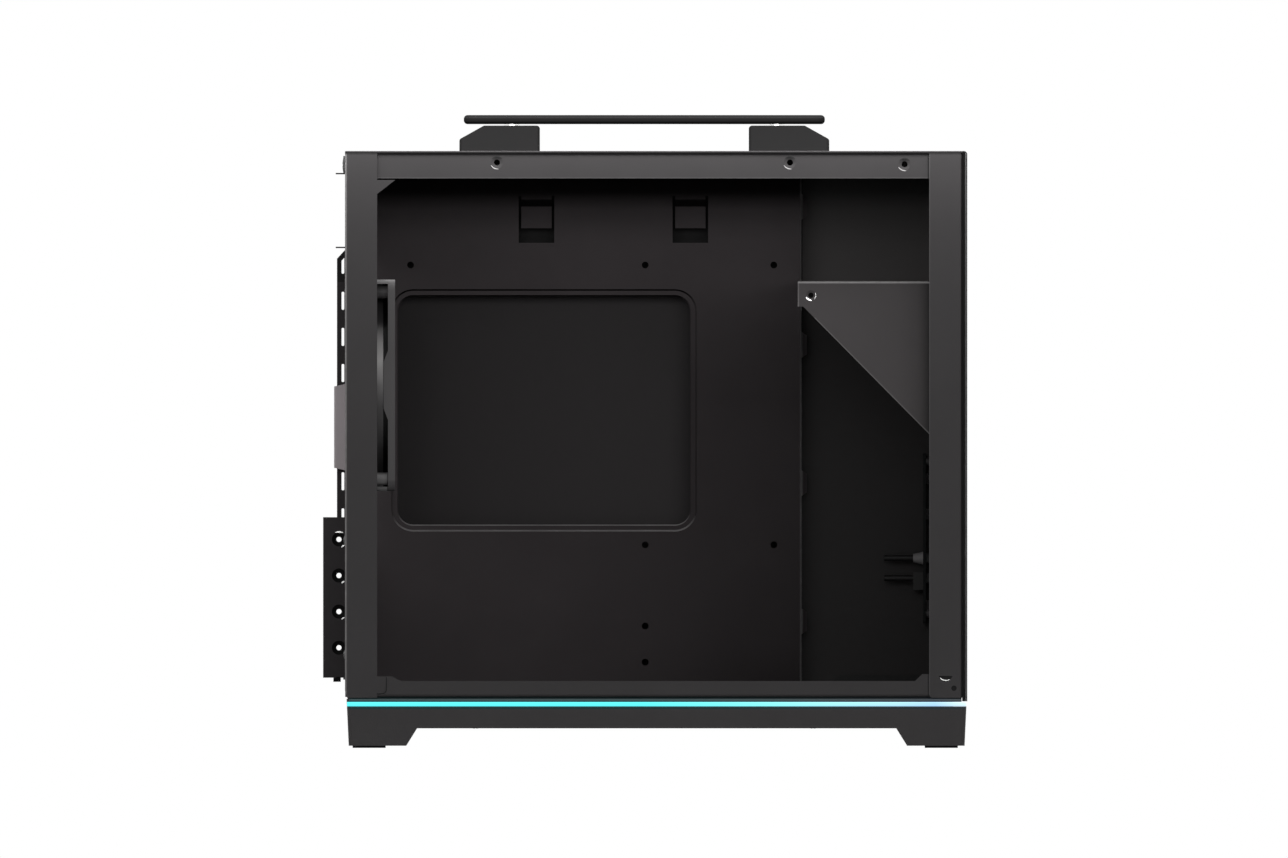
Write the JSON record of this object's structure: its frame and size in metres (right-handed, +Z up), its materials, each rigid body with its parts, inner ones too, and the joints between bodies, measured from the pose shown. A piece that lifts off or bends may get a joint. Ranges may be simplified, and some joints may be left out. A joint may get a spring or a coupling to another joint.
{
  "type": "computer case",
  "caption": "Small open-sided tower computer case: folded dark steel chassis with board tray, rear fan, supply bracket, glass front, lit plinth and carrying handle.",
  "frame": {"origin": "under the middle of the bounding box, on the ground", "axes": "+X to the front of the case, +Y to its closed side, +Z up"},
  "size_m": [0.3626, 0.21, 0.3562],
  "materials": {
    "dark_steel": "fine powder coat, dark grey",
    "dark_cover": "fine powder coat, dark grey",
    "grey_grip": "satin grey paint",
    "smoked_glass": "dark tinted glass",
    "dark_plastic": "fine matt texture",
    "fan_plastic": "satin black",
    "winding": "copper wire",
    "handle_coat": "matt dark coat",
    "circuit_board": "black solder mask",
    "light_diffuser": "milky diffuser lit from behind",
    "button_plastic": "satin",
    "port_shell": "blackened plate",
    "lead_cover": "matt lead jacket",
    "contact_metal": "plated contacts",
    "pad_rubber": "matt",
    "screw_steel": "black oxide",
    "filter_mesh": "fine woven mesh",
    "bright_steel": "bright plate"
  },
  "bodies": {
    "chassis": {"audio_jack": "dark_plastic", "base": "dark_plastic", "base_screws": "screw_steel", "board_tray": "dark_steel", "bottom_panel": "dark_steel", "bracket_screws": "screw_steel", "button_switches": "dark_plastic", "clamp_screws": "screw_steel", "fan_frame": "dark_plastic", "fan_screws": "screw_steel", "fan_stator": "winding", "foot_pad_front_left": "pad_rubber", "foot_pad_front_right": "pad_rubber", "foot_pad_rear_left": "pad_rubber", "foot_pad_rear_right": "pad_rubber", "front_frame": "dark_steel", "front_glass": "smoked_glass", "handle_bar": "handle_coat", "handle_screws": "screw_steel", "handle_support_front": "handle_coat", "handle_support_rear": "handle_coat", "handle_washers": "bright_steel", "inlet_pins": "contact_metal", "inlet_plate": "dark_steel", "inlet_screws": "screw_steel", "inlet_socket": "dark_plastic", "io_board": "circuit_board", "io_strip": "dark_plastic", "lead_lower": "lead_cover", "lead_upper": "lead_cover", "led_board": "circuit_board", "light_strip": "light_diffuser", "panel_grip": "grey_grip", "panel_screws": "screw_steel", "port_lower": "port_shell", "port_upper": "port_shell", "psu_bracket": "dark_steel", "rear_panel": "dark_steel", "right_panel": "dark_cover", "roof_filter": "filter_mesh", "slot_clamp": "dark_steel", "slot_cover_1": "dark_steel", "slot_cover_2": "dark_steel", "slot_cover_3": "dark_steel", "slot_cover_4": "dark_steel", "top_cover": "dark_cover", "top_frame": "dark_steel"},
    "rotor": {"fan_rotor": "fan_plastic"},
    "power": {"power_button": "button_plastic"},
    "reset": {"reset_button": "button_plastic"}
  },
  "joints": [
    {"name": "fan_spin", "type": "hinge", "parent": "chassis", "child": "rotor", "pos_m": [-0.1528, -0.0375, 0.2041], "axis": [1, 0, 0], "continuous": true},
    {"name": "power_press", "type": "slide", "parent": "chassis", "child": "power", "axis": [-1, 0, 0], "range_m": [0, 0.0012], "stiffness_N_per_m": 600},
    {"name": "reset_press", "type": "slide", "parent": "chassis", "child": "reset", "axis": [-1, 0, 0], "range_m": [0, 0.0012], "stiffness_N_per_m": 400}
  ]
}
